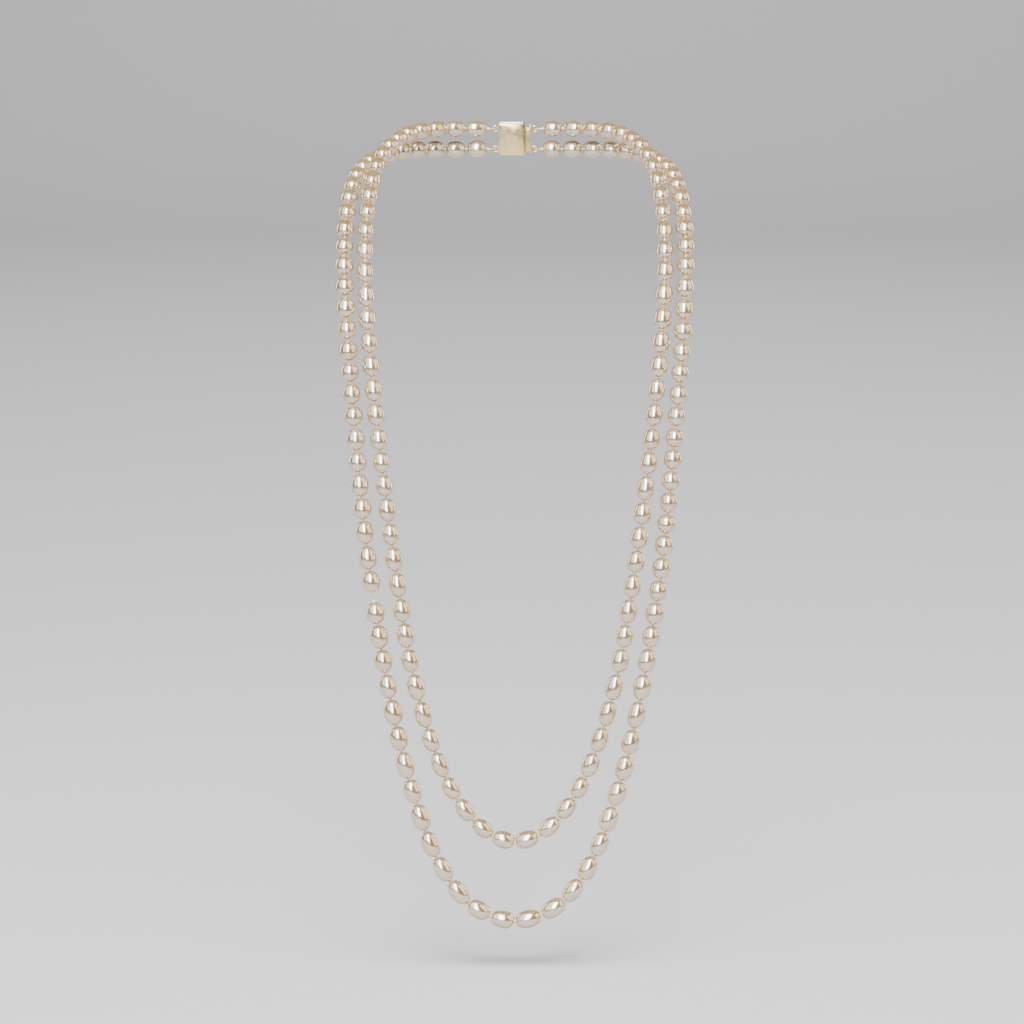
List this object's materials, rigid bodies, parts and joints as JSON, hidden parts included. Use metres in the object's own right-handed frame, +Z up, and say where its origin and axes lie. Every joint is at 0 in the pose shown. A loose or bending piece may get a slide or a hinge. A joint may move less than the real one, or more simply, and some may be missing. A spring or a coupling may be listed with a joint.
{
  "type": "pearl necklace",
  "caption": "Long two-row necklace of knotted oval pearls on silk, joined at the nape by a push-in box clasp.",
  "frame": {"origin": "the middle of the wearer's neck at the height where the rows rest", "axes": "+Z up, the wearer's front towards -Y, +X to the right as seen from the front"},
  "size_m": [0.1514, 0.1551, 0.3261],
  "materials": {
    "pearl": "high pearl lustre",
    "silk": "twisted silk",
    "gold": "polished gold plate",
    "gold_wire": "coiled gold wire"
  },
  "bodies": {
    "clasp_side": {"clasp_box": "gold", "clasp_cover": "gold", "box_eyelets": "gold", "box_bullion": "gold_wire", "inner_nape_left_pearls": "pearl", "inner_nape_left_silk": "silk", "outer_nape_left_pearls": "pearl", "outer_nape_left_silk": "silk"},
    "tongue_side": {"tongue_plate": "gold", "tongue_eyelets": "gold", "tongue_bullion": "gold_wire", "inner_nape_right_pearls": "pearl", "inner_nape_right_silk": "silk", "outer_nape_right_pearls": "pearl", "outer_nape_right_silk": "silk"},
    "catch_spring": {"spring_leaf": "gold", "thumb_tab": "gold"},
    "inner_upper_drape": {"inner_upper_left_pearls": "pearl", "inner_upper_left_silk": "silk", "inner_upper_right_pearls": "pearl", "inner_upper_right_silk": "silk"},
    "inner_middle_drape": {"inner_middle_left_pearls": "pearl", "inner_middle_left_silk": "silk", "inner_middle_right_pearls": "pearl", "inner_middle_right_silk": "silk"},
    "inner_lower_drape": {"inner_lower_pearls": "pearl", "inner_lower_silk": "silk"},
    "outer_upper_drape": {"outer_upper_left_pearls": "pearl", "outer_upper_left_silk": "silk", "outer_upper_right_pearls": "pearl", "outer_upper_right_silk": "silk"},
    "outer_middle_drape": {"outer_middle_left_pearls": "pearl", "outer_middle_left_silk": "silk", "outer_middle_right_pearls": "pearl", "outer_middle_right_silk": "silk"},
    "outer_lower_drape": {"outer_lower_pearls": "pearl", "outer_lower_silk": "silk"}
  },
  "joints": [
    {"name": "clasp_pull", "type": "slide", "parent": "clasp_side", "child": "tongue_side", "axis": [1, 0, 0], "range_m": [0, 0.012], "deforming": ["spring_leaf"]},
    {"name": "thumb_press", "type": "hinge", "parent": "tongue_side", "child": "catch_spring", "pos_m": [-0.0053, 0.0463, -0.0015], "axis": [0, 0, -1], "range_deg": [0, 8], "stiffness_Nm_per_rad": 0.02, "springref_deg": -2.86},
    {"name": "inner_shoulder_fold", "type": "hinge", "parent": "clasp_side", "child": "inner_upper_drape", "pos_m": [0, -0.038, -0.026], "axis": [-1, 0, 0], "range_deg": [0, 45]},
    {"name": "inner_chest_fold", "type": "hinge", "parent": "inner_upper_drape", "child": "inner_middle_drape", "pos_m": [0, -0.0752, -0.108], "axis": [-1, 0, 0], "range_deg": [0, 40]},
    {"name": "inner_lower_fold", "type": "hinge", "parent": "inner_middle_drape", "child": "inner_lower_drape", "pos_m": [0, -0.0912, -0.21], "axis": [-1, 0, 0], "range_deg": [0, 40]},
    {"name": "outer_shoulder_fold", "type": "hinge", "parent": "clasp_side", "child": "outer_upper_drape", "pos_m": [0, -0.038, -0.026], "axis": [-1, 0, 0], "range_deg": [0, 45]},
    {"name": "outer_chest_fold", "type": "hinge", "parent": "outer_upper_drape", "child": "outer_middle_drape", "pos_m": [0, -0.0752, -0.108], "axis": [-1, 0, 0], "range_deg": [0, 40]},
    {"name": "outer_lower_fold", "type": "hinge", "parent": "outer_middle_drape", "child": "outer_lower_drape", "pos_m": [0, -0.0912, -0.21], "axis": [-1, 0, 0], "range_deg": [0, 40]}
  ]
}
